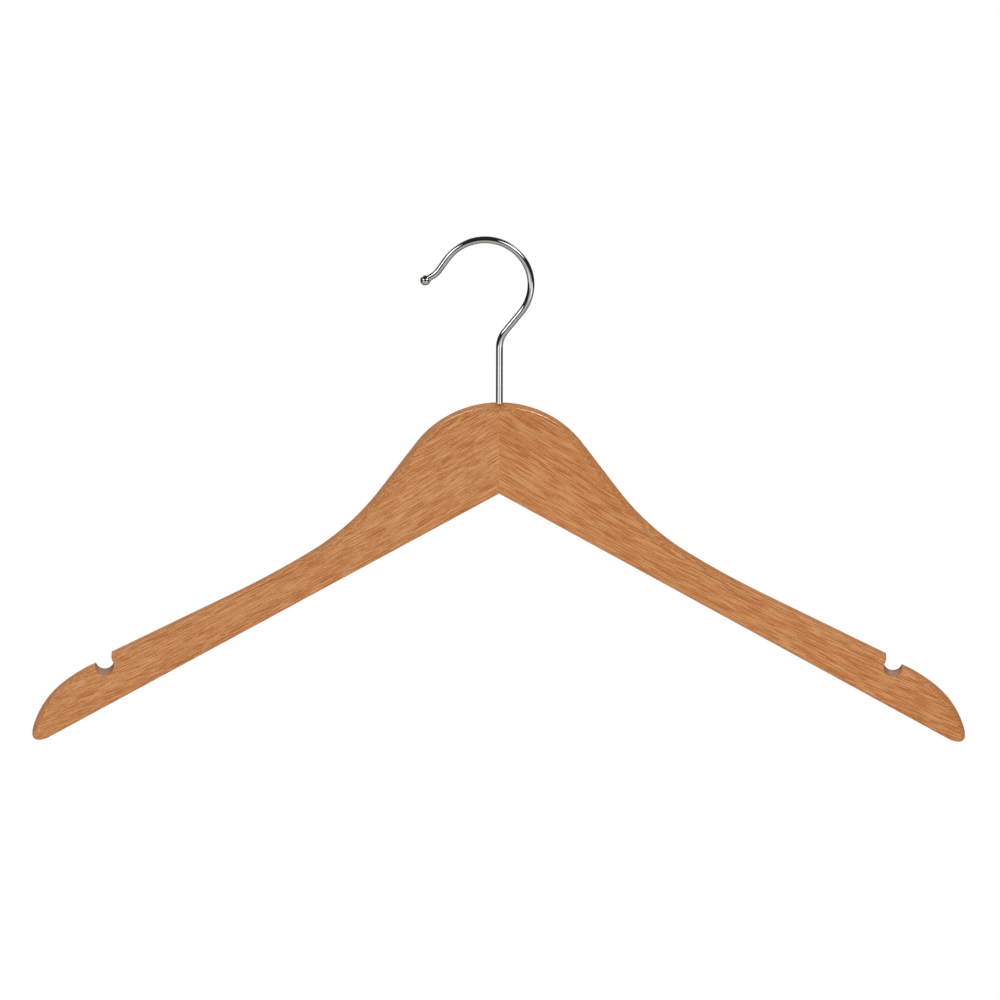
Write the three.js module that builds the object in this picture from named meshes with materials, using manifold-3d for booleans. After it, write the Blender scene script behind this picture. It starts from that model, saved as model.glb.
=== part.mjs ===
// A wooden clothes hanger: two beech shoulder halves glued at a finger joint, and a chromed wire
// hook that turns in a bore through the neck, held from below by a washer and a collar.
//
// Units are millimetres and degrees. +Z is up, X runs along the shoulders and -Y is the front.
// Heights are first given from the crown, the highest point of the wood on the hook's axis. The
// whole group is then lowered or raised so that the origin is the middle of the overall box.

import * as THREE from 'three';
import { mergeVertices } from 'three/addons/utils/BufferGeometryUtils.js';
import Module from 'manifold-3d';

const wasm = await Module();
wasm.setup();

// Wood
const THICKNESS = 12;
const EDGE_RADIUS = 2.5;
const V_APEX_DROP = 41.3;
const CROWN = { radius: 48, angle: 53.3 };
const NECK_FLANK = 28.3;
const NECK_HOLLOW = { radius: 119, angle: 21.2 };
const ARM_HOLLOW = { radius: 420, angle: 5.5 };
const ARM_STRAIGHT = 64.4;
const TIP_SHOULDER = { radius: 87, angle: 12 };
const TIP_END = { radius: 41, angle: 36.5 };
const NOSE = { radius: 2.7, angle: 103.5 };
const HEEL = { radius: 10, angle: 29.4 };

// Strap notches
const NOTCH_RADIUS = 4.25;
const NOTCH_CENTRE = { x: 182.5, z: -124.1 };
const NOTCH_TILT = 26.6;
const NOTCH_SPAN = 8.4;
const NOTCH_DIP = 6.4;
const NOTCH_RISE = 5;

// Finger joint at the middle of the neck
const FINGER_REACH = 2.8;
const FINGER_START = 1.8;
const FINGER_PITCH = 3.2;
const GLUE_LINE = 0.2;

// Hook
const WIRE_RADIUS = 1.6;
const SHANK_STRAIGHT = 27.2;
const SHANK_BEND = { radius: 12.7, angle: 38.6 };
const HOOK_RISE = 11.4;
const BOWL = { radius: 21.3, angle: 183.6 };
const MOUTH_STRAIGHT = 6.3;
const LIP = { radius: 10.6, angle: 21.5 };
const LIP_STRAIGHT = 4.4;
const BALL_RADIUS = 2.35;
const BALL_WIRE_OVERRUN = 0.4;
const PRESS_GAP = 0.04;

// Swivel
const BORE_CLEARANCE = 0.06;
const SEAT_DROP = 31;
const COUNTERBORE_RADIUS = 3.9;
const WASHER = { outer: 3.4, thickness: 0.8 };
const COLLAR = { outer: 2.9, height: 3.2, rounding: 0.6 };
const SEAT_GAP = 0.3;
const COLLAR_GAP = 0.1;
const SHANK_OVERRUN = 0.8;

// Fineness of the facets
const FACET_DEPTH = 0.02;
const EDGE_SEGMENTS = 3;
const WIRE_SIDES = 20;
const WIRE_STEPS = 84;
const ROUND_SIDES = 32;
const BALL_ROWS = 10;

// Long enough to pass right through whatever it cuts
const THROUGH = 60;
const FAR_SIDE = 240;

const rad = THREE.MathUtils.degToRad;
const clockwise = ({ radius, angle }) => ({ radius, angle: -angle });

// A pen that walks along straights and tangent arcs in a plane and keeps the points it passes.
class Pen {
  constructor(x, y, heading) {
    this.at = new THREE.Vector2(x, y);
    this.heading = rad(heading);
    this.points = [this.at.clone()];
  }

  forward(length) {
    const step = new THREE.Vector2(Math.cos(this.heading), Math.sin(this.heading));
    this.at.addScaledVector(step, length);
    this.points.push(this.at.clone());
    return this;
  }

  corner(angle) {
    this.heading += rad(angle);
    return this;
  }

  // Follows a tangent arc; a positive angle turns to the left.
  arc({ radius, angle }) {
    const turn = rad(angle);
    const side = Math.sign(turn);
    const toCentre = new THREE.Vector2(-Math.sin(this.heading), Math.cos(this.heading));
    const centre = this.at.clone().addScaledVector(toCentre, radius * side);
    const facet = 2 * Math.acos(1 - FACET_DEPTH / radius);
    const count = Math.ceil(Math.abs(turn) / facet);
    const spoke = this.at.clone().sub(centre);
    for (let i = 1; i <= count; i += 1) {
      const end = spoke.clone().rotateAround(new THREE.Vector2(), turn * i / count);
      this.points.push(end.add(centre));
    }
    this.at.copy(this.points.at(-1));
    this.heading += turn;
    return this;
  }
}

// A centre line in the XZ plane made of straights and tangent arcs, walked at constant speed.
class BentLine extends THREE.Curve {
  constructor(start, heading, pieces) {
    super();
    this.start = start;
    this.heading = rad(heading);
    this.pieces = pieces.map((piece) => ({ ...piece, length: BentLine.lengthOf(piece) }));
    this.total = this.pieces.reduce((sum, piece) => sum + piece.length, 0);
  }

  static lengthOf(piece) {
    return piece.straight ?? piece.radius * rad(Math.abs(piece.angle));
  }

  getPoint(t, target = new THREE.Vector3()) {
    const { x, z } = this.walk(t * this.total);
    return target.set(x, 0, z);
  }

  // The place and heading after a given length of line.
  walk(distance) {
    let { x, z } = this.start;
    let heading = this.heading;
    let left = distance;
    for (const piece of this.pieces) {
      const part = Math.min(left, piece.length);
      if (piece.straight === undefined) {
        const side = Math.sign(piece.angle);
        const turned = heading + side * part / piece.radius;
        x += side * piece.radius * (Math.sin(turned) - Math.sin(heading));
        z -= side * piece.radius * (Math.cos(turned) - Math.cos(heading));
        heading = turned;
      } else {
        x += part * Math.cos(heading);
        z += part * Math.sin(heading);
      }
      left -= part;
    }
    return { x, z, heading };
  }
}

function toSolid(geometry) {
  const bare = geometry.clone();
  bare.deleteAttribute('normal');
  bare.deleteAttribute('uv');
  const merged = mergeVertices(bare, 1e-4);
  const vertProperties = new Float32Array(merged.attributes.position.array);
  const triVerts = new Uint32Array(merged.index.array);
  return new wasm.Manifold(new wasm.Mesh({ numProp: 3, vertProperties, triVerts }));
}

function toGeometry(solid) {
  const mesh = solid.getMesh();
  const geometry = new THREE.BufferGeometry();
  geometry.setAttribute('position', new THREE.BufferAttribute(mesh.vertProperties, mesh.numProp));
  geometry.setIndex(new THREE.BufferAttribute(mesh.triVerts, 1));
  geometry.computeVertexNormals();
  return geometry;
}

// A round bar or hole standing on Z between two heights.
function uprightCylinder(radius, low, high) {
  const cylinder = new THREE.CylinderGeometry(radius, radius, high - low, ROUND_SIDES);
  cylinder.rotateX(Math.PI / 2);
  cylinder.translate(0, 0, (low + high) / 2);
  return toSolid(cylinder);
}

// A ring turned about Z, as a square outline swept round, standing on the height given.
function uprightRing(inner, outer, low, high, rounding) {
  const outline = [
    new THREE.Vector2(inner, low),
    new THREE.Vector2(outer - rounding, low),
    new THREE.Vector2(outer, low + rounding),
    new THREE.Vector2(outer, high),
    new THREE.Vector2(inner, high),
    new THREE.Vector2(inner, low),
  ];
  const sharp = outline.filter((point, i) => i === 0 || !point.equals(outline[i - 1]));
  return toSolid(new THREE.LatheGeometry(sharp, ROUND_SIDES).rotateX(Math.PI / 2));
}

// The front view of the whole board, from the crown round one tip to the V below the neck, and
// back round the other tip.
function boardShape() {
  const half = new Pen(0, 0, 0)
    .arc(clockwise(CROWN))
    .forward(NECK_FLANK)
    .arc(NECK_HOLLOW)
    .arc(ARM_HOLLOW)
    .forward(ARM_STRAIGHT)
    .corner(-NOTCH_DIP)
    .forward(NOTCH_SPAN)
    .corner(NOTCH_RISE)
    .arc(clockwise(TIP_SHOULDER))
    .arc(clockwise(TIP_END))
    .arc(clockwise(NOSE))
    .arc(clockwise(HEEL));
  const right = half.points;
  const left = right.slice(1).reverse().map(({ x, y }) => new THREE.Vector2(-x, y));
  return new THREE.Shape([...right, new THREE.Vector2(0, -V_APEX_DROP), ...left]);
}

// The board's faces are flat and its outer edges are rounded, front and back.
function boardSolid() {
  const board = new THREE.ExtrudeGeometry(boardShape(), {
    depth: THICKNESS - 2 * EDGE_RADIUS,
    bevelThickness: EDGE_RADIUS,
    bevelSize: EDGE_RADIUS,
    bevelOffset: -EDGE_RADIUS,
    bevelSegments: EDGE_SEGMENTS,
  });
  board.translate(0, 0, EDGE_RADIUS - THICKNESS / 2);
  board.rotateX(Math.PI / 2);
  return toSolid(board);
}

// A round-bottomed slot cut straight through the board, square to the arm's upper edge.
function notchCutter(side) {
  const slot = new THREE.Shape();
  slot.absarc(0, 0, NOTCH_RADIUS, Math.PI, 2 * Math.PI);
  slot.lineTo(NOTCH_RADIUS, THROUGH);
  slot.lineTo(-NOTCH_RADIUS, THROUGH);
  const cutter = new THREE.ExtrudeGeometry(slot, {
    depth: THROUGH,
    bevelEnabled: false,
    curveSegments: ROUND_SIDES / 4,
  });
  cutter.translate(0, 0, -THROUGH / 2);
  cutter.rotateX(Math.PI / 2);
  cutter.rotateY(side * rad(NOTCH_TILT));
  cutter.translate(side * NOTCH_CENTRE.x, 0, NOTCH_CENTRE.z);
  return toSolid(cutter);
}

// Everything on one side of the glue line. Seen from above, the line is straight at both faces and
// beside the bore, and zigzags into one long finger each way between them.
function sideOfSeam(side) {
  const back = [
    [0, FINGER_START],
    [FINGER_REACH, FINGER_START + FINGER_PITCH / 4],
    [-FINGER_REACH, FINGER_START + FINGER_PITCH * 3 / 4],
    [0, FINGER_START + FINGER_PITCH],
  ];
  const front = back.map(([x, y]) => [x, -y]).reverse();
  const shift = side * GLUE_LINE / 2;
  const outline = [
    [side * FAR_SIDE, -THICKNESS],
    [shift, -THICKNESS],
    ...[...front, ...back].map(([x, y]) => [x + shift, y]),
    [shift, THICKNESS],
    [side * FAR_SIDE, THICKNESS],
  ];
  const shape = new THREE.Shape(outline.map(([x, y]) => new THREE.Vector2(x, y)));
  const prism = new THREE.ExtrudeGeometry(shape, { depth: FAR_SIDE, bevelEnabled: false });
  prism.translate(0, 0, -FAR_SIDE + THROUGH);
  return toSolid(prism);
}

function shoulder(side) {
  const bore = uprightCylinder(WIRE_RADIUS + BORE_CLEARANCE, -THROUGH, THROUGH);
  const counterbore = uprightCylinder(COUNTERBORE_RADIUS, -THROUGH, -SEAT_DROP);
  const drilled = boardSolid().subtract(bore).subtract(counterbore);
  return toGeometry(drilled.subtract(notchCutter(side)).intersect(sideOfSeam(side)));
}

const washerTop = -SEAT_DROP - SEAT_GAP;
const washerBottom = washerTop - WASHER.thickness;
const collarTop = washerBottom - COLLAR_GAP;
const collarBottom = collarTop - COLLAR.height;
const shankBottom = collarBottom - SHANK_OVERRUN;

const hookLine = new BentLine({ x: 0, z: shankBottom }, 90, [
  { straight: SHANK_STRAIGHT - shankBottom },
  clockwise(SHANK_BEND),
  { straight: HOOK_RISE },
  BOWL,
  { straight: MOUTH_STRAIGHT },
  clockwise(LIP),
  { straight: LIP_STRAIGHT + BALL_WIRE_OVERRUN },
]);

function hookWire() {
  const section = new THREE.Shape();
  section.absarc(0, 0, WIRE_RADIUS, 0, 2 * Math.PI);
  return new THREE.ExtrudeGeometry(section, {
    extrudePath: hookLine,
    steps: WIRE_STEPS,
    curveSegments: WIRE_SIDES / 2,
    bevelEnabled: false,
  });
}

// The ball that ends the wire, with a blind socket for it.
function hookBall() {
  const { x, z, heading } = hookLine.walk(hookLine.total - BALL_WIRE_OVERRUN);
  const ball = new THREE.SphereGeometry(BALL_RADIUS, 2 * BALL_ROWS, BALL_ROWS);
  const socketRadius = WIRE_RADIUS + PRESS_GAP;
  const socketFloor = BALL_WIRE_OVERRUN + PRESS_GAP;
  const socket = new THREE.CylinderGeometry(socketRadius, socketRadius, THROUGH, ROUND_SIDES);
  socket.translate(0, socketFloor - THROUGH / 2, 0);
  socket.rotateX(Math.PI / 2);
  socket.rotateY(Math.PI / 2 - heading);
  const geometry = toGeometry(toSolid(ball).subtract(toSolid(socket)));
  return geometry.translate(x, 0, z);
}

function thrustWasher() {
  const inner = WIRE_RADIUS + BORE_CLEARANCE;
  return toGeometry(uprightRing(inner, WASHER.outer, washerBottom, washerTop, 0));
}

function retainingCollar() {
  const inner = WIRE_RADIUS + PRESS_GAP;
  return toGeometry(uprightRing(inner, COLLAR.outer, collarBottom, collarTop, COLLAR.rounding));
}

function beech() {
  return new THREE.MeshStandardMaterial({ color: '#c89268', roughness: 0.42, metalness: 0 });
}

function chrome() {
  return new THREE.MeshStandardMaterial({ color: '#d6d8d8', roughness: 0.06, metalness: 1 });
}

function zincPlate() {
  return new THREE.MeshStandardMaterial({ color: '#b4b6b8', roughness: 0.35, metalness: 1 });
}

const hanger = new THREE.Group();

function addPiece(name, geometry, material) {
  const piece = new THREE.Mesh(geometry, material);
  piece.name = name;
  hanger.add(piece);
}

addPiece('left_shoulder', shoulder(-1), beech());
addPiece('right_shoulder', shoulder(1), beech());
addPiece('hook_wire', hookWire(), chrome());
addPiece('hook_ball', hookBall(), chrome());
addPiece('thrust_washer', thrustWasher(), zincPlate());
addPiece('retaining_collar', retainingCollar(), zincPlate());

const overall = new THREE.Box3().setFromObject(hanger);
hanger.position.z = -(overall.min.z + overall.max.z) / 2;

export default hanger;
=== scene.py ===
import math

import bmesh
import bpy
from mathutils import Matrix, Vector


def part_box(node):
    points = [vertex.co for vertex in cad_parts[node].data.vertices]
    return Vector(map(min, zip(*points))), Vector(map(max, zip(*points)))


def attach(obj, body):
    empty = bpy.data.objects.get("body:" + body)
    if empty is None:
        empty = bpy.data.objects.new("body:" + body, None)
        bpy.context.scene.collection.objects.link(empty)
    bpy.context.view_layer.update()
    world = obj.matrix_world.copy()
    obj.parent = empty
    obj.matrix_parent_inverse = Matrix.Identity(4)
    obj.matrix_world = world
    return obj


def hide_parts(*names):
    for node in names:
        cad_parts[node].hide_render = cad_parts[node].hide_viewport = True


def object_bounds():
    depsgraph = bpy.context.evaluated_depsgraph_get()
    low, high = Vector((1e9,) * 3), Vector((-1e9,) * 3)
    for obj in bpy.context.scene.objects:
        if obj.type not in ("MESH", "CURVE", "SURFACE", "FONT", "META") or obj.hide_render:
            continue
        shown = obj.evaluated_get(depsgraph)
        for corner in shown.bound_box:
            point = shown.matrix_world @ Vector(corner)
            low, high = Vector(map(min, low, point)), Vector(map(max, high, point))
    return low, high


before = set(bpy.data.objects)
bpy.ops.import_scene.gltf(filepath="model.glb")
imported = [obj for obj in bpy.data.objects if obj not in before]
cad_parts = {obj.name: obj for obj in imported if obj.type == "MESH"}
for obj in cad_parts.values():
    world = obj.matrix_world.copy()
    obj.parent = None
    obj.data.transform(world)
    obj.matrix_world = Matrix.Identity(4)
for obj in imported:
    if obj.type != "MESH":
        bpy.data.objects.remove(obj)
cad_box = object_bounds()

MM = 0.001

# Places taken from the frame
shoulder_low, shoulder_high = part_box("right_shoulder")
wire_low, wire_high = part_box("hook_wire")
washer_low, washer_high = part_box("thrust_washer")
collar_low, collar_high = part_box("retaining_collar")
ball_low, ball_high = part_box("hook_ball")
CROWN_Z = shoulder_high.z
THICKNESS = shoulder_high.y - shoulder_low.y
WIRE_RADIUS = (wire_high.y - wire_low.y) / 2
BALL_RADIUS = (ball_high.y - ball_low.y) / 2

# The front outline of the wood: radii and lengths in metres, angles in degrees
EDGE_RADIUS = 2.5 * MM
V_APEX_DROP = 41.7 * MM
CROWN_ARC = (48 * MM, -53.3)
NECK_FLANK = 28.3 * MM
NECK_HOLLOW_ARC = (119 * MM, 21.2)
ARM_HOLLOW_ARC = (420 * MM, 5.5)
ARM_STRAIGHT = 64.4 * MM
NOTCH_SPAN = 8.4 * MM
NOTCH_DIP = 9.6
NOTCH_RISE = 11.2
TIP_SHOULDER_ARC = (69.5 * MM, -15)
TIP_END_ARC = (41 * MM, -36.5)
NOSE_ARC = (2.7 * MM, -103.5)
HEEL_ARC = (10 * MM, -29.4)

# Strap notch
NOTCH_RADIUS = 4.25 * MM
NOTCH_CENTRE_X = 182.5 * MM
NOTCH_CENTRE_DROP = 124.1 * MM
NOTCH_TILT = 26.6
NOTCH_LIP_RADIUS = 1.3 * MM
NOTCH_EASE = 0.15 * MM

# Finger joint and bores
FINGER_REACH = 2.8 * MM
FINGER_START = 1.8 * MM
FINGER_PITCH = 3.2 * MM
GLUE_LINE = 0.02 * MM
BORE_CLEARANCE = 0.06 * MM
BORE_EASE = 0.25 * MM
COUNTERBORE_RADIUS = 3.9 * MM
SEAT_GAP = 0.3 * MM

# Hook centre line, walked up from the foot of the shank
SHANK_STRAIGHT = 27.2 * MM
SHANK_BEND = (12.7 * MM, -38.6)
HOOK_RISE = 11.4 * MM
BOWL = (21.3 * MM, 183.6)
MOUTH_STRAIGHT = 6.3 * MM
LIP = (10.6 * MM, -21.5)
LIP_STRAIGHT = 4.4 * MM

# Metal details
WIRE_FOOT_CHAMFER = 0.3 * MM
BALL_WIRE_OVERRUN = 0.4 * MM
BALL_SOCKET_FLARE = 1.04
BALL_SOCKET_CHAMFER = 0.1 * MM
PRESS_GAP = 0.04 * MM
WASHER_EASE = 0.15 * MM
COLLAR_EASE = 0.5 * MM

# Fineness of the meshes
ARC_STEP = 0.9 * MM
ARC_STEP_DEGREES = 4
STRAIGHT_STEP = 4 * MM
EDGE_STEPS = 9
LIP_STEPS = 12
NOTCH_STEPS = 40
WIRE_STEP = 0.4 * MM
WIRE_SIDES = 56
ROUND_SIDES = 96
BALL_STEPS = 48
EASE_STEPS = 4
SHARP_EDGE_DEGREES = 32

# How far the cutting solids reach
THROUGH = 60 * MM
FAR_SIDE = 260 * MM

# Grain: its slope in degrees, how far along the arm it has exactly that slope, how fast it curves
# on either side of there, per metre, and the height of its slow waves
GRAIN_SLOPE = 29.4
GRAIN_LEVEL_AT = 75 * MM
GRAIN_SWEEP = 0.29
GRAIN_WAVE = 4 * MM
LEFT_GRAIN_SEED = 3.1
RIGHT_GRAIN_SEED = 8.6

# Colours, as linear red, green, blue and alpha
LEFT_BEECH_LIGHT = (0.580, 0.285, 0.122, 1)
LEFT_BEECH_DARK = (0.385, 0.132, 0.036, 1)
RIGHT_BEECH_LIGHT = (0.575, 0.272, 0.109, 1)
RIGHT_BEECH_DARK = (0.385, 0.125, 0.031, 1)
SAWN_LIGHT = (0.42, 0.19, 0.10, 1)
SAWN_DARK = (0.20, 0.082, 0.040, 1)
# Painted shade: the dark brown that the sawn wood fades to towards the back face
PAINTED_BACK_SHADE = (0.07, 0.04, 0.03, 1)
CHROME_DEEP = (0.82, 0.82, 0.795, 1)
CHROME_CLOUDED = (0.76, 0.765, 0.74, 1)
ZINC_BLUE = (0.50, 0.53, 0.58, 1)
ZINC_STRAW = (0.58, 0.56, 0.50, 1)
PALE_PAINT = (0.9, 0.9, 0.9, 1)
WHITE = (1, 1, 1, 1)
STUDIO_WARM = (1.0, 0.96, 0.9, 1)

# Stage
STAGE_DROP = 0.25
TABLE_HALF_WIDTH = 1.4
TABLE_FRONT = -3.0
TABLE_BACK = 0.1
FLOOR_HALF_WIDTH = 8
FLOOR_UNDER_TABLE = 0.01

# Lights and background
LIGHT_DISTANCE = 2.0
KEY_SIZE = (1.4, 1.2)
SOFT_FILL = 0.18
BACKGROUND_WHITE = 1.2

# Camera: angles in degrees, except for the roll, which is in radians
LOOK_DOWN = 15
VIEW_SPAN = 462.5 * MM
VIEW_DISTANCE = 20.0
VIEW_CENTRE_X = 0.4 * MM
VIEW_CENTRE_DROP = 44.2 * MM
VIEW_ROLL = 0.002
SENSOR_WIDTH = 36


# --- Paths ---------------------------------------------------------------------------------------


class Pen:
    """Walks along straights and tangent arcs in a plane and keeps the points it passes."""

    def __init__(self, x, z, heading):
        self.x = x
        self.z = z
        self.heading = math.radians(heading)
        self.points = [(x, z)]
        self.headings = [self.heading]

    def _keep(self):
        self.points.append((self.x, self.z))
        self.headings.append(self.heading)

    def forward(self, length, step=STRAIGHT_STEP):
        count = max(1, math.ceil(length / step))
        for _ in range(count):
            self.x += length / count * math.cos(self.heading)
            self.z += length / count * math.sin(self.heading)
            self._keep()
        return self

    def corner(self, degrees):
        self.heading += math.radians(degrees)
        return self

    def arc(self, radius, degrees, step=ARC_STEP):
        """A tangent arc; a positive angle turns to the left."""
        turn = math.radians(degrees)
        side = math.copysign(1, turn)
        by_length = math.ceil(abs(turn) * radius / step)
        by_angle = math.ceil(abs(degrees) / ARC_STEP_DEGREES)
        count = max(by_length, by_angle)
        centre_x = self.x - side * radius * math.sin(self.heading)
        centre_z = self.z + side * radius * math.cos(self.heading)
        for _ in range(count):
            self.heading += turn / count
            self.x = centre_x + side * radius * math.sin(self.heading)
            self.z = centre_z - side * radius * math.cos(self.heading)
            self._keep()
        return self


def upper_edge():
    """A pen that has walked down the upper edge from the crown to the neck side of the notch."""
    pen = Pen(0, CROWN_Z, 0)
    pen.arc(*CROWN_ARC).forward(NECK_FLANK).arc(*NECK_HOLLOW_ARC).arc(*ARM_HOLLOW_ARC)
    return pen.forward(ARM_STRAIGHT)


def board_outline():
    """The whole front outline, clockwise from the crown, as (x, z) points."""
    pen = upper_edge()
    pen.corner(-NOTCH_DIP).forward(NOTCH_SPAN).corner(NOTCH_RISE)
    pen.arc(*TIP_SHOULDER_ARC).arc(*TIP_END_ARC).arc(*NOSE_ARC).arc(*HEEL_ARC)
    heel_x, heel_z = pen.points[-1]
    apex = (0, CROWN_Z - V_APEX_DROP)
    count = math.ceil(math.hypot(heel_x, heel_z - apex[1]) / STRAIGHT_STEP)
    steps = [i / count for i in range(1, count)]
    edge = [(heel_x * (1 - t), heel_z + (apex[1] - heel_z) * t) for t in steps]
    right = pen.points + edge
    left = [(-x, z) for x, z in reversed(right[1:])]
    return right + [apex] + left


def hook_path():
    """The hook's centre line as (x, z) points, the heading at each, and the ball's place."""
    pen = Pen(0, wire_low.z, 90)
    pen.forward(CROWN_Z - wire_low.z + SHANK_STRAIGHT, WIRE_STEP)
    pen.arc(*SHANK_BEND, WIRE_STEP).forward(HOOK_RISE, WIRE_STEP).arc(*BOWL, WIRE_STEP)
    pen.forward(MOUTH_STRAIGHT, WIRE_STEP).arc(*LIP, WIRE_STEP)
    pen.forward(LIP_STRAIGHT, WIRE_STEP)
    ball = (pen.x, pen.z, pen.heading)
    pen.forward(BALL_WIRE_OVERRUN, WIRE_STEP)
    return pen.points, pen.headings, ball


# --- Meshes --------------------------------------------------------------------------------------


def new_object(name, points, faces):
    mesh = bpy.data.meshes.new(name)
    mesh.from_pydata([tuple(p) for p in points], [], faces)
    mesh.validate()
    mesh.update()
    obj = bpy.data.objects.new(name, mesh)
    bpy.context.scene.collection.objects.link(obj)
    return obj


def stitch(ring_count, size):
    """Quads between rings of the same size, each ring closed on itself."""
    faces = []
    for ring in range(ring_count - 1):
        here = ring * size
        there = here + size
        for i in range(size):
            j = (i + 1) % size
            faces.append((here + i, here + j, there + j, there + i))
    return faces


def inward_normals(outline):
    """The mitred direction into a clockwise outline at each of its points."""
    normals = []
    size = len(outline)
    for i, (x, z) in enumerate(outline):
        x0, z0 = outline[i - 1]
        x1, z1 = outline[(i + 1) % size]
        before = Vector((z - z0, x0 - x)).normalized()
        after = Vector((z1 - z, x - x1)).normalized()
        middle = (before + after).normalized()
        normals.append(middle / middle.dot(before))
    return normals


def rounded_board(name):
    """The board with flat faces and rounded outer edges, front and back."""
    outline = board_outline()
    normals = inward_normals(outline)
    angles = [math.pi / 2 * i / EDGE_STEPS for i in range(EDGE_STEPS + 1)]
    insets = [(EDGE_RADIUS * (1 - math.sin(a)), EDGE_RADIUS * (1 - math.cos(a))) for a in angles]
    profile = [(inset, depth - THICKNESS / 2) for inset, depth in insets]
    profile += [(inset, THICKNESS / 2 - depth) for inset, depth in reversed(insets)]
    points = []
    for inset, y in profile:
        for (x, z), normal in zip(outline, normals):
            points.append((x + normal.x * inset, y, z + normal.y * inset))
    size = len(outline)
    faces = stitch(len(profile), size)
    faces.append(tuple(reversed(range(size))))
    faces.append(tuple(range(size * (len(profile) - 1), size * len(profile))))
    return outward(new_object(name, points, faces))


def outward(obj):
    """Turns every face of a closed mesh to face out."""
    work = bmesh.new()
    work.from_mesh(obj.data)
    bmesh.ops.recalc_face_normals(work, faces=work.faces)
    work.to_mesh(obj.data)
    work.free()
    return obj


def prism(name, outline, low, high):
    """An upright prism on an (x, y) outline."""
    size = len(outline)
    points = [(x, y, z) for z in (low, high) for x, y in outline]
    faces = stitch(2, size)
    faces.append(tuple(range(size)))
    faces.append(tuple(range(size, 2 * size)))
    return outward(new_object(name, points, faces))


def lathe(name, profile):
    """Turns a closed (radius, z) profile about Z. Points on the axis are shared."""
    points = []
    faces = []
    starts = []
    for radius, z in profile:
        starts.append(len(points))
        count = ROUND_SIDES if radius > 0 else 1
        for i in range(count):
            angle = 2 * math.pi * i / ROUND_SIDES
            points.append((radius * math.cos(angle), radius * math.sin(angle), z))
    for k, (radius, _) in enumerate(profile):
        after = (k + 1) % len(profile)
        next_radius = profile[after][0]
        if radius == 0 and next_radius == 0:
            continue
        here = starts[k]
        there = starts[after]
        for i in range(ROUND_SIDES):
            j = (i + 1) % ROUND_SIDES
            near_edge = [here] if radius == 0 else [here + i, here + j]
            far_edge = [there] if next_radius == 0 else [there + j, there + i]
            faces.append(tuple(near_edge + far_edge))
    return outward(new_object(name, points, faces))


def cut(obj, cutter, materials, operation="DIFFERENCE"):
    """Applies a boolean to obj and removes the cutter, whose materials go on the fresh surfaces."""
    for material in materials:
        cutter.data.materials.append(material)
    modifier = obj.modifiers.new("cut", "BOOLEAN")
    modifier.solver = "EXACT"
    modifier.material_mode = "TRANSFER"
    modifier.operation = operation
    modifier.object = cutter
    graph = bpy.context.evaluated_depsgraph_get()
    mesh = bpy.data.meshes.new_from_object(obj.evaluated_get(graph))
    obj.modifiers.remove(modifier)
    obj.data = mesh
    bpy.data.objects.remove(cutter)
    return obj


def smooth(obj):
    """Smooth shading that keeps hard edges and leaves large flat faces flat."""
    obj.data.shade_smooth()
    obj.data.set_sharp_from_angle(angle=math.radians(SHARP_EDGE_DEGREES))
    weighted = obj.modifiers.new("flat_faces", "WEIGHTED_NORMAL")
    weighted.keep_sharp = True
    weighted.weight = 100
    return obj


# --- Wood ----------------------------------------------------------------------------------------


def notch_profile(spread):
    """The slot's outline as (across, up): a lip rolled over towards the neck, a round bottom and
    a wall with a crisp corner towards the tip. The spread, from 0 to 1, is the share of the easing
    at the faces, which lets the outline out a little."""
    radius = NOTCH_RADIUS + NOTCH_EASE * spread
    lip = NOTCH_LIP_RADIUS
    lip_x = -radius - lip
    lip_z = lip_height() - lip
    roll = [math.pi / 2 * (1 - i / LIP_STEPS) for i in range(LIP_STEPS + 1)]
    points = [(lip_x + lip * math.cos(a), lip_z + lip * math.sin(a)) for a in roll]
    bottom = [math.pi + math.pi * i / NOTCH_STEPS for i in range(NOTCH_STEPS + 1)]
    points += [(radius * math.cos(a), radius * math.sin(a)) for a in bottom]
    return points + [(radius, THROUGH), (-radius - THROUGH, THROUGH)]


def lip_height():
    """How far the arm's upper edge is above the notch's centre, measured along the slot."""
    pen = upper_edge()
    tilt = math.radians(NOTCH_TILT)
    from_centre_x = pen.x - NOTCH_CENTRE_X
    from_centre_z = pen.z - (CROWN_Z - NOTCH_CENTRE_DROP)
    return from_centre_x * math.sin(tilt) + from_centre_z * math.cos(tilt)


def notch_cutter(side):
    """The notch as a solid that widens a trace at both faces. The first of its materials is for the
    sawn walls and the second for the lip, which is rounded and lacquered like the outer edges."""
    half = THICKNESS / 2
    angles = [math.pi / 2 * i / EDGE_STEPS for i in range(EDGE_STEPS + 1)]
    front = [(EDGE_RADIUS * (1 - math.cos(a)) - half, 1 - math.sin(a)) for a in angles]
    back = [(-y, spread) for y, spread in reversed(front)]
    stations = [(-THROUGH, 1), *front, *back, (THROUGH, 1)]
    rings = [[(x, y, z) for x, z in notch_profile(spread)] for y, spread in stations]
    points = [point for ring in rings for point in ring]
    size = len(rings[0])
    faces = stitch(len(rings), size)
    faces.append(tuple(range(size)))
    faces.append(tuple(range(size * (len(rings) - 1), size * len(rings))))
    cutter = new_object("notch_cutter", points, faces)
    side_count = (len(stations) - 1) * size
    for polygon in cutter.data.polygons[:side_count]:
        polygon.material_index = int(polygon.index % size < LIP_STEPS)
    turn = Matrix.Rotation(math.radians(NOTCH_TILT), 4, "Y")
    place = Matrix.Translation((NOTCH_CENTRE_X, 0, CROWN_Z - NOTCH_CENTRE_DROP))
    cutter.data.transform(Matrix.Diagonal((side, 1, 1, 1)) @ place @ turn)
    return outward(cutter)


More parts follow.
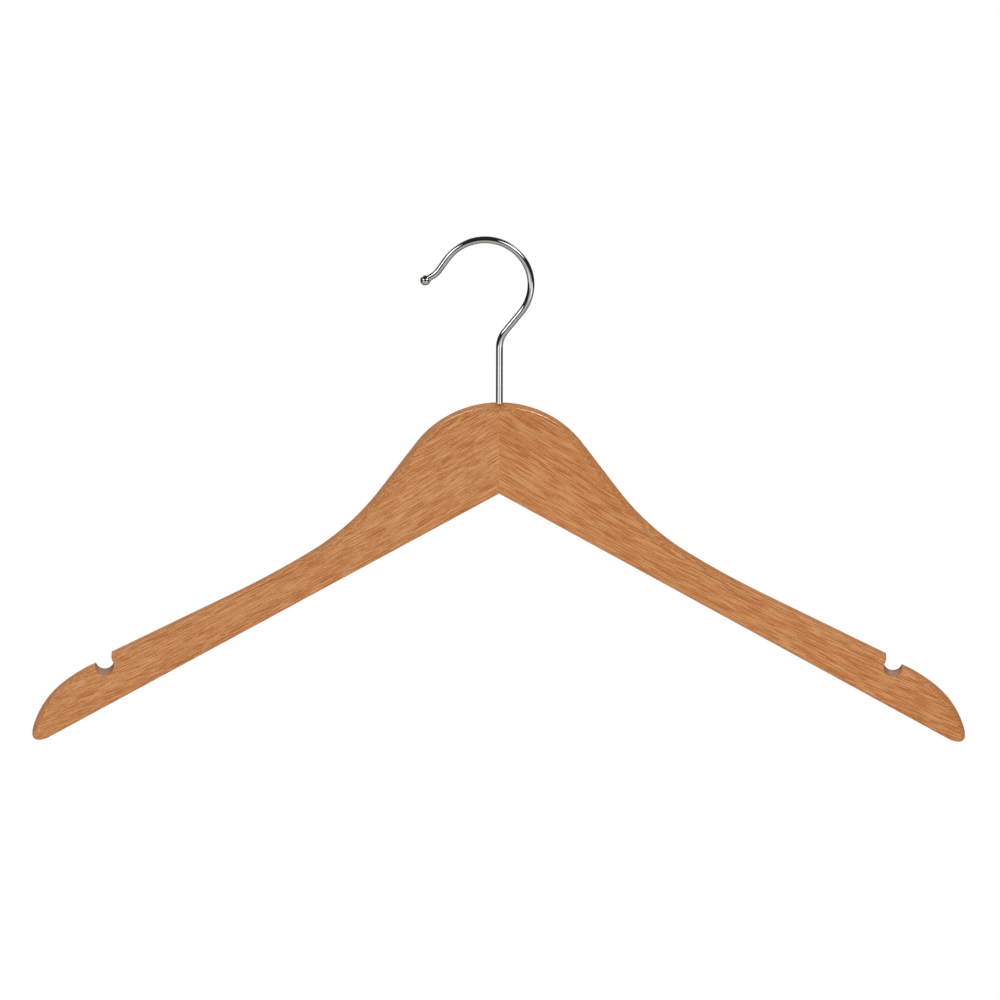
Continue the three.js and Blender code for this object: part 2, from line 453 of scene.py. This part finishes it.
def side_of_seam(side):
    """Everything on one side of the glue line, which zigzags into fingers between the faces."""
    back = [
        (0, FINGER_START),
        (FINGER_REACH, FINGER_START + FINGER_PITCH / 4),
        (-FINGER_REACH, FINGER_START + FINGER_PITCH * 3 / 4),
        (0, FINGER_START + FINGER_PITCH),
    ]
    seam = [(x, -y) for x, y in reversed(back)] + back
    shift = side * GLUE_LINE / 2
    outline = [(side * FAR_SIDE, -THICKNESS), (shift, -THICKNESS)]
    outline += [(x + shift, y) for x, y in seam]
    outline += [(shift, THICKNESS), (side * FAR_SIDE, THICKNESS)]
    return prism("seam_side", outline, -FAR_SIDE, FAR_SIDE)


def bore_cutter():
    """The shank's bore with an eased mouth, and the counterbore that opens into the V."""
    bore = WIRE_RADIUS + BORE_CLEARANCE
    seat = washer_high.z + SEAT_GAP
    profile = [
        (0, -THROUGH * 2),
        (COUNTERBORE_RADIUS, -THROUGH * 2),
        (COUNTERBORE_RADIUS, seat),
        (bore, seat),
        (bore, CROWN_Z - BORE_EASE),
        (bore + 2 * BORE_EASE, CROWN_Z + BORE_EASE),
        (bore + 2 * BORE_EASE, CROWN_Z + THROUGH),
        (0, CROWN_Z + THROUGH),
    ]
    return lathe("bore_cutter", profile)


def shoulder(name, side, lacquered, sawn):
    """One half of the wood. Side is 1 for the right and -1 for the left."""
    board = rounded_board(name)
    board.data.materials.append(lacquered)
    cut(board, bore_cutter(), [sawn])
    cut(board, notch_cutter(side), [sawn, lacquered])
    cut(board, side_of_seam(side), [sawn], "INTERSECT")
    return smooth(board)


# --- Metal ---------------------------------------------------------------------------------------


def hook_wire(name):
    """Round wire swept along the hook's centre line, with a chamfered foot."""
    path, headings, _ = hook_path()
    points = []
    for k, ((x, z), heading) in enumerate(zip(path, headings)):
        radius = WIRE_RADIUS
        if k == 0:
            radius -= WIRE_FOOT_CHAMFER
        across = Vector((-math.sin(heading), 0, math.cos(heading)))
        for i in range(WIRE_SIDES):
            angle = 2 * math.pi * i / WIRE_SIDES
            offset = across * (radius * math.cos(angle)) + Vector((0, radius * math.sin(angle), 0))
            points.append(Vector((x, 0, z)) + offset)
    faces = stitch(len(path), WIRE_SIDES)
    faces.append(tuple(range(WIRE_SIDES)))
    faces.append(tuple(range(WIRE_SIDES * (len(path) - 1), WIRE_SIDES * len(path))))
    return smooth(outward(new_object(name, points, faces)))


def hook_ball(name):
    """The ball with a blind socket for the wire, chamfered at its mouth."""
    socket = WIRE_RADIUS + PRESS_GAP
    rim = math.asin(socket * BALL_SOCKET_FLARE / BALL_RADIUS)
    angles = [rim + (math.pi - rim) * i / BALL_STEPS for i in range(BALL_STEPS + 1)]
    outer = [(BALL_RADIUS * math.sin(a), -BALL_RADIUS * math.cos(a)) for a in angles]
    outer[-1] = (0, BALL_RADIUS)
    floor = BALL_WIRE_OVERRUN + PRESS_GAP
    mouth = outer[0][1] + BALL_SOCKET_CHAMFER
    profile = outer + [(0, floor), (socket, floor), (socket, mouth)]
    ball = lathe(name, profile)
    _, _, (x, z, heading) = hook_path()
    turn = Matrix.Rotation(math.pi / 2 - heading, 4, "Y")
    ball.data.transform(Matrix.Translation((x, 0, z)) @ turn)
    return smooth(ball)


def eased_ring(name, inner, outer, low, high, ease):
    """A flat ring with every edge eased by a small round."""
    steps = [math.pi / 2 * i / EASE_STEPS for i in range(EASE_STEPS + 1)]
    corners = [
        (outer, low, 1, 1, False),
        (outer, high, 1, -1, True),
        (inner, high, -1, -1, False),
        (inner, low, -1, 1, True),
    ]
    profile = []
    for radius, z, out, up, flip in corners:
        for step in steps:
            angle = math.pi / 2 - step if flip else step
            from_side = ease * (1 - math.sin(angle))
            from_face = ease * (1 - math.cos(angle))
            profile.append((radius - out * from_side, z + up * from_face))
    return smooth(lathe(name, profile))


# --- Materials -----------------------------------------------------------------------------------


class Nodes:
    """A short way to add and join the nodes of one material."""

    def __init__(self, name):
        self.material = bpy.data.materials.new(name)
        self.material.use_nodes = True
        self.tree = self.material.node_tree
        self.tree.nodes.clear()
        self.output = self.add("ShaderNodeOutputMaterial")
        self.surface = self.add("ShaderNodeBsdfPrincipled")
        self.join(self.surface.outputs["BSDF"], self.output.inputs["Surface"])

    def add(self, kind, **settings):
        node = self.tree.nodes.new(kind)
        for key, value in settings.items():
            setattr(node, key, value)
        return node

    def join(self, source, target):
        """Links a socket to the target, or sets the target to a plain value."""
        if hasattr(source, "is_output"):
            self.tree.links.new(source, target)
        else:
            target.default_value = source

    def maths(self, operation, a, b=0.0, c=0.0, clamp=False):
        node = self.add("ShaderNodeMath", operation=operation, use_clamp=clamp)
        for value, target in zip((a, b, c), node.inputs):
            self.join(value, target)
        return node.outputs[0]

    def weigh(self, middle, *parts):
        """The middle plus each noise's distance from its own mean of a half, times its weight."""
        total = middle - sum(weight for _, weight in parts) / 2
        for value, weight in parts:
            total = self.maths("MULTIPLY_ADD", value, weight, total)
        return total

    def mix(self, factor, a, b):
        node = self.add("ShaderNodeMix", data_type="RGBA")
        self.join(factor, node.inputs["Factor"])
        self.join(a, node.inputs["A"])
        self.join(b, node.inputs["B"])
        return node.outputs["Result"]

    def ramp(self, value, low, high):
        """0 below low, 1 above high, smooth between."""
        node = self.add("ShaderNodeMapRange", interpolation_type="SMOOTHSTEP")
        self.join(value, node.inputs["Value"])
        node.inputs["From Min"].default_value = low
        node.inputs["From Max"].default_value = high
        return node.outputs["Result"]

    def place(self):
        return self.add("ShaderNodeTexCoord").outputs["Object"]

    def turned(self, vector, degrees):
        """The vector turned about Y."""
        node = self.add("ShaderNodeMapping", vector_type="POINT")
        self.join(vector, node.inputs["Vector"])
        node.inputs["Rotation"].default_value = (0, math.radians(degrees), 0)
        return node.outputs["Vector"]

    def fibres(self, vector, length, width, detail, rough, seed):
        """Noise drawn out along X: its features are about length long and width across. The seed
        moves it by a different amount on each axis."""
        stretch = self.add("ShaderNodeMapping", vector_type="POINT")
        self.join(vector, stretch.inputs["Vector"])
        stretch.inputs["Scale"].default_value = (1 / length, 1 / width, 1 / width)
        stretch.inputs["Location"].default_value = (seed, seed * 1.7, seed * 2.3)
        noise = self.add("ShaderNodeTexNoise", noise_dimensions="3D")
        self.join(stretch.outputs["Vector"], noise.inputs["Vector"])
        noise.inputs["Scale"].default_value = 1
        noise.inputs["Detail"].default_value = detail
        noise.inputs["Roughness"].default_value = rough
        return noise.outputs["Fac"]

    def bump(self, height, distance, strength):
        node = self.add("ShaderNodeBump")
        node.inputs["Distance"].default_value = distance
        node.inputs["Strength"].default_value = strength
        self.join(height, node.inputs["Height"])
        self.join(node.outputs["Normal"], self.surface.inputs["Normal"])

    def set(self, **values):
        """Sets the surface's inputs, whose names are given with _ for each space."""
        for name, value in values.items():
            self.join(value, self.surface.inputs[name.replace("_", " ")])


def fade_along_y(tree, coordinates, start, end, at_start, at_end):
    """A value that runs from at_start to at_end as Y runs from start to end."""
    place = tree.nodes.new("ShaderNodeTexCoord")
    parts = tree.nodes.new("ShaderNodeSeparateXYZ")
    fade = tree.nodes.new("ShaderNodeMapRange")
    tree.links.new(place.outputs[coordinates], parts.inputs[0])
    tree.links.new(parts.outputs["Y"], fade.inputs["Value"])
    fade.inputs["From Min"].default_value = start
    fade.inputs["From Max"].default_value = end
    fade.inputs["To Min"].default_value = at_start
    fade.inputs["To Max"].default_value = at_end
    return fade.outputs["Result"]


def arm_grain(n, side, seed):
    """Coordinates whose X runs with the grain down one arm, a little steeper at the neck."""
    turned = n.add("ShaderNodeSeparateXYZ")
    n.join(n.turned(n.place(), -side * GRAIN_SLOPE), turned.inputs[0])
    along = n.maths("MULTIPLY", turned.outputs["X"], side)
    from_level = n.maths("SUBTRACT", along, GRAIN_LEVEL_AT)
    sweep = n.maths("MULTIPLY", n.maths("POWER", from_level, 2.0), GRAIN_SWEEP)
    across = n.maths("SUBTRACT", turned.outputs["Z"], sweep)
    swept = n.add("ShaderNodeCombineXYZ")
    n.join(along, swept.inputs[0])
    n.join(turned.outputs["Y"], swept.inputs[1])
    n.join(across, swept.inputs[2])
    line = swept.outputs[0]
    drift = n.fibres(line, length=70 * MM, width=22 * MM, detail=1, rough=0.4, seed=seed + 5)
    wave = n.add("ShaderNodeVectorMath", operation="MULTIPLY_ADD")
    n.join(drift, wave.inputs[0])
    wave.inputs[1].default_value = (0, 0, GRAIN_WAVE)
    n.join(line, wave.inputs[2])
    return wave.outputs["Vector"]


def beech(name, side, light, dark, seed):
    """Lacquered beech: broad bands, fine streaks and threads, grit and dark flecks."""
    n = Nodes(name)
    grain = arm_grain(n, side, seed)
    bands = n.fibres(grain, length=80 * MM, width=5.5 * MM, detail=2, rough=0.5, seed=seed)
    streaks = n.fibres(grain, length=30 * MM, width=0.42 * MM, detail=2, rough=0.55, seed=seed + 11)
    threads = n.fibres(grain, length=11 * MM, width=0.28 * MM, detail=1, rough=0.5, seed=seed + 23)
    thread_mask = n.ramp(threads, low=0.38, high=0.62)
    grit = n.fibres(grain, length=1.1 * MM, width=0.22 * MM, detail=0, rough=0.5, seed=seed + 31)
    flecks = n.fibres(grain, length=6 * MM, width=0.4 * MM, detail=0, rough=0.5, seed=seed + 37)
    fleck_mask = n.ramp(flecks, low=0.60, high=0.68)

    tone = n.weigh(0.56, (bands, 0.8), (streaks, 1.5), (thread_mask, 1.05), (grit, 1.3))
    tone = n.maths("MULTIPLY_ADD", fleck_mask, -0.5, tone, clamp=True)
    n.set(Base_Color=n.mix(tone, dark, light))
    n.set(Specular_IOR_Level=0.0, Coat_Weight=0.4, Coat_Roughness=0.1)
    n.set(Roughness=n.maths("MULTIPLY_ADD", threads, 0.2, 0.42))
    n.bump(tone, distance=0.012 * MM, strength=0.5)
    return n.material


def sawn_beech(name):
    """Bare wood inside the notches, the bores and the seam: rough, open-pored and darker than the
    outside, with painted shade that darkens it towards the back."""
    n = Nodes(name)
    blotch = n.fibres(n.place(), length=3 * MM, width=3 * MM, detail=2, rough=0.5, seed=4)
    pores = n.fibres(n.place(), length=0.4 * MM, width=0.25 * MM, detail=1, rough=0.5, seed=14)
    depth = n.add("ShaderNodeSeparateXYZ")
    n.join(n.place(), depth.inputs[0])
    # Painted shade: the sawn wood darkens towards the back face, where the notch lies in shade
    back_shade = n.ramp(depth.outputs["Y"], low=THICKNESS * 0.1, high=THICKNESS * 0.5)
    tone = n.weigh(0.5, (blotch, 1.4), (pores, 2.2))
    wood = n.mix(tone, SAWN_DARK, SAWN_LIGHT)
    n.set(Base_Color=n.mix(n.maths("MULTIPLY", back_shade, 0.75), wood, PAINTED_BACK_SHADE))
    n.set(Roughness=n.maths("MULTIPLY_ADD", pores, 0.3, 0.5), Specular_IOR_Level=0.2)
    n.bump(pores, distance=0.03 * MM, strength=0.5)
    return n.material


def chrome(name):
    """Bright chrome over drawn wire: almost a mirror, with faint polishing marks."""
    n = Nodes(name)
    cloud = n.fibres(n.place(), length=9 * MM, width=9 * MM, detail=3, rough=0.6, seed=3)
    marks = n.fibres(n.place(), length=5 * MM, width=5 * MM, detail=1, rough=0.5, seed=9)
    tint = n.mix(n.ramp(cloud, low=0.35, high=0.65), CHROME_DEEP, CHROME_CLOUDED)
    rough = n.maths("MULTIPLY_ADD", cloud, 0.04, 0.03)
    n.set(Base_Color=tint, Metallic=1.0, Roughness=rough)
    n.bump(marks, distance=0.01 * MM, strength=0.3)
    return n.material


def zinc(name):
    """Dull zinc plating with a slight blue and straw mottle and a fine grit."""
    n = Nodes(name)
    mottle = n.fibres(n.place(), length=1.6 * MM, width=1.6 * MM, detail=4, rough=0.6, seed=2)
    tint = n.mix(n.ramp(mottle, low=0.4, high=0.6), ZINC_BLUE, ZINC_STRAW)
    grit = n.fibres(n.place(), length=0.2 * MM, width=0.2 * MM, detail=2, rough=0.6, seed=7)
    rough = n.maths("MULTIPLY_ADD", mottle, 0.25, 0.22)
    n.set(Base_Color=tint, Metallic=1.0, Roughness=rough)
    n.bump(grit, distance=0.02 * MM, strength=0.4)
    return n.material


def finish_piece(obj, material, body, node):
    """Gives a piece its material, if its cuts haven't, and ties it to the frame."""
    if not obj.data.materials:
        obj.data.materials.append(material)
    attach(obj, body)
    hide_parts(node)


# --- The hanger ----------------------------------------------------------------------------------


def build_hanger():
    """Makes the six pieces and returns the two wooden ones."""
    left = beech("beech_left", -1, LEFT_BEECH_LIGHT, LEFT_BEECH_DARK, LEFT_GRAIN_SEED)
    right = beech("beech_right", 1, RIGHT_BEECH_LIGHT, RIGHT_BEECH_DARK, RIGHT_GRAIN_SEED)
    bright = chrome("polished_chrome")
    plated = zinc("zinc_plate")
    sawn = sawn_beech("sawn_beech")
    left_half = shoulder("left_half", -1, left, sawn)
    right_half = shoulder("right_half", 1, right, sawn)
    finish_piece(left_half, left, "shoulders", "left_shoulder")
    finish_piece(right_half, right, "shoulders", "right_shoulder")
    finish_piece(hook_wire("bent_wire"), bright, "hook", "hook_wire")
    finish_piece(hook_ball("ball_end"), bright, "hook", "hook_ball")
    bore = WIRE_RADIUS + BORE_CLEARANCE
    washer = eased_ring("washer", bore, washer_high.x, washer_low.z, washer_high.z, WASHER_EASE)
    finish_piece(washer, plated, "hook", "thrust_washer")
    grip = WIRE_RADIUS + PRESS_GAP
    collar_radius = collar_high.x
    collar = eased_ring("push_collar", grip, collar_radius, collar_low.z, collar_high.z, COLLAR_EASE)
    finish_piece(collar, plated, "hook", "retaining_collar")
    return left_half, right_half


# --- Stage ---------------------------------------------------------------------------------------


def flat_sheet(name, low_x, high_x, low_y, high_y, z, material):
    corners = [(low_x, low_y, z), (high_x, low_y, z), (high_x, high_y, z), (low_x, high_y, z)]
    sheet = new_object(name, corners, [(0, 1, 2, 3)])
    sheet.data.materials.append(material)
    return sheet


def overlit_material(name):
    """Shadowless white to the camera, pale paint as a surface, and in reflections a glowing grey,
    painted light that brightens from under the hanger towards the front."""
    n = Nodes(name)
    n.set(Base_Color=PALE_PAINT, Roughness=0.8, Specular_IOR_Level=0.2)
    # Painted light: in reflections the table glows a grey that brightens towards the front
    grey = fade_along_y(n.tree, "Object", start=0.0, end=-1.2, at_start=0.36, at_end=0.50)
    path = n.add("ShaderNodeLightPath")
    shader = n.surface.outputs["BSDF"]
    for ray, strength in (("Is Glossy Ray", grey), ("Is Camera Ray", 1.0)):
        glow = n.add("ShaderNodeEmission")
        pick = n.add("ShaderNodeMixShader")
        n.join(strength, glow.inputs["Strength"])
        n.join(path.outputs[ray], pick.inputs[0])
        n.join(shader, pick.inputs[1])
        n.join(glow.outputs[0], pick.inputs[2])
        shader = pick.outputs[0]
    n.join(shader, n.output.inputs["Surface"])
    return n.material


def build_stage():
    """A pale table under the hanger, and a wider pale floor that reflections don't show."""
    white = overlit_material("pale_floor")
    ground = cad_box[0][2] - STAGE_DROP
    table = (-TABLE_HALF_WIDTH, TABLE_HALF_WIDTH, TABLE_FRONT, TABLE_BACK)
    flat_sheet("table", *table, ground, white)
    wide = (-FLOOR_HALF_WIDTH, FLOOR_HALF_WIDTH, -FLOOR_HALF_WIDTH, FLOOR_HALF_WIDTH)
    floor = flat_sheet("floor", *wide, ground - FLOOR_UNDER_TABLE, white)
    floor.visible_glossy = False


def softbox(name, azimuth, elevation, distance, size, power):
    """A rectangular soft light that faces the hanger. Azimuth 0 is the front, positive to the
    right."""
    data = bpy.data.lights.new(name, "AREA")
    data.shape = "RECTANGLE"
    data.size, data.size_y = size
    data.energy = power
    light = bpy.data.objects.new(name, data)
    a, e = math.radians(azimuth), math.radians(elevation)
    away = Vector((math.sin(a) * math.cos(e), -math.cos(a) * math.cos(e), math.sin(e)))
    light.location = away * distance
    light.rotation_euler = away.to_track_quat("Z", "Y").to_euler()
    light.visible_camera = False
    bpy.context.scene.collection.objects.link(light)
    return light


def build_lights(wood):
    """Keys that light but don't show in reflections, pale cards for the metal to reflect, and three
    lights for the wood alone: two rims that only shine in its lacquer and a top light that only
    lights it."""
    for name, azimuth, elevation, power in (
        ("right_key", 42, 14, 12.5),
        ("left_key", -50, 14, 11.5),
        ("back_key", 180, 58, 27),
    ):
        key = softbox(name, azimuth, elevation, LIGHT_DISTANCE, KEY_SIZE, power)
        key.visible_glossy = False
    for name, azimuth, elevation, distance, size, power in (
        ("right_card", 42, 34, LIGHT_DISTANCE, (1.2, 0.9), 9),
        ("left_card", -50, 27, LIGHT_DISTANCE, (1.1, 0.8), 7),
        ("right_low_card", 35, -14, 1.1, (0.5, 0.24), 0.36),
        ("left_low_card", -33, -14, 1.1, (0.5, 0.24), 0.29),
        ("right_back_card", 140, 28, LIGHT_DISTANCE, (0.9, 0.9), 2.6),
        ("left_back_card", -145, 28, LIGHT_DISTANCE, (0.9, 0.9), 2.6),
    ):
        softbox(name, azimuth, elevation, distance, size, power)
    receivers = bpy.data.collections.new("wood")
    for piece in wood:
        receivers.objects.link(piece)
    for name, azimuth, elevation, size, power in (
        ("right_rim", 158, 34, (0.5, 0.8), 20),
        ("left_rim", -158, 34, (0.5, 0.8), 15),
        ("top_key", 180, 78, KEY_SIZE, 3),
    ):
        light = softbox(name, azimuth, elevation, LIGHT_DISTANCE, size, power)
        light.light_linking.receiver_collection = receivers
        light.visible_glossy = name != "top_key"
        light.visible_diffuse = name == "top_key"


def build_world():
    """White to the camera, soft grey as light, and in mirror reflections a studio that is dark in
    front of the hanger and dim behind it."""
    world = bpy.data.worlds.new("studio")
    bpy.context.scene.world = world
    world.use_nodes = True
    tree = world.node_tree
    tree.nodes.clear()
    output = tree.nodes.new("ShaderNodeOutputWorld")
    path = tree.nodes.new("ShaderNodeLightPath")

    def background(colour, strength):
        node = tree.nodes.new("ShaderNodeBackground")
        node.inputs["Color"].default_value = colour
        node.inputs["Strength"].default_value = strength
        return node

    def choose(factor, no, yes):
        node = tree.nodes.new("ShaderNodeMixShader")
        tree.links.new(factor, node.inputs[0])
        tree.links.new(no.outputs[0], node.inputs[1])
        tree.links.new(yes.outputs[0], node.inputs[2])
        return node

    dim = fade_along_y(tree, "Generated", start=0.3, end=0.9, at_start=0.02, at_end=0.13)
    soft = background(WHITE, SOFT_FILL)
    studio = background(STUDIO_WARM, 1.0)
    tree.links.new(dim, studio.inputs["Strength"])
    white = background(WHITE, BACKGROUND_WHITE)
    mirrored = choose(path.outputs["Is Glossy Ray"], soft, studio)
    seen = choose(path.outputs["Is Camera Ray"], mirrored, white)
    tree.links.new(seen.outputs[0], output.inputs["Surface"])


def build_camera():
    """A long lens looking slightly down on the front, with a trace of roll."""
    look_down = math.radians(LOOK_DOWN)
    data = bpy.data.cameras.new("camera")
    data.sensor_width = SENSOR_WIDTH
    data.lens = SENSOR_WIDTH * VIEW_DISTANCE / VIEW_SPAN
    camera = bpy.data.objects.new("camera", data)
    target = Vector((VIEW_CENTRE_X, 0, CROWN_Z - VIEW_CENTRE_DROP / math.cos(look_down)))
    away = Vector((0, -math.cos(look_down), math.sin(look_down)))
    camera.location = target + away * VIEW_DISTANCE
    roll = Matrix.Rotation(VIEW_ROLL, 3, "Z")
    camera.rotation_euler = (away.to_track_quat("Z", "Y").to_matrix() @ roll).to_euler()
    bpy.context.scene.collection.objects.link(camera)
    bpy.context.scene.camera = camera


halves = build_hanger()
build_stage()
build_lights(halves)
build_world()
build_camera()
bpy.context.scene.view_settings.view_transform = "Standard"
